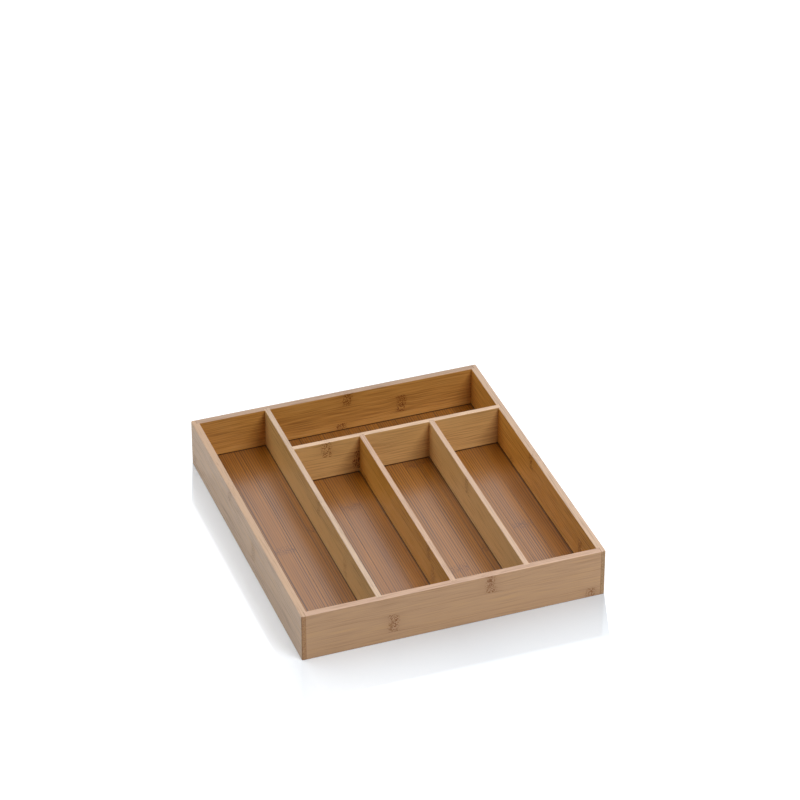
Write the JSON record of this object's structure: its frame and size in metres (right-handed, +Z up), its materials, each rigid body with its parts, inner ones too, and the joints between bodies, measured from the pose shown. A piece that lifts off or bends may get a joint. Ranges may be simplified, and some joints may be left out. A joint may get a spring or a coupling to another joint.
{
  "type": "cutlery tray",
  "caption": "Rectangular open bamboo tray for a drawer, divided into a full-length, a crosswise and several short cutlery compartments.",
  "frame": {"origin": "on the table, under the middle of the tray", "axes": "+X to the right along the front wall, +Y from the front wall to the back wall, +Z up towards the rim"},
  "size_m": [0.3, 0.34, 0.05],
  "materials": {
    "wall_bamboo": "satin clear lacquer on flat-pressed bamboo strips",
    "divider_bamboo": "satin clear lacquer on flat-pressed bamboo strips",
    "panel_bamboo": "semi-gloss clear lacquer on flat-pressed bamboo strips"
  },
  "bodies": {
    "root": {"left_wall": "wall_bamboo", "right_wall": "wall_bamboo", "front_wall": "wall_bamboo", "back_wall": "wall_bamboo", "base_panel": "panel_bamboo", "long_divider": "divider_bamboo", "cross_divider": "divider_bamboo", "short_divider_1": "divider_bamboo", "short_divider_2": "divider_bamboo"}
  },
  "joints": []
}
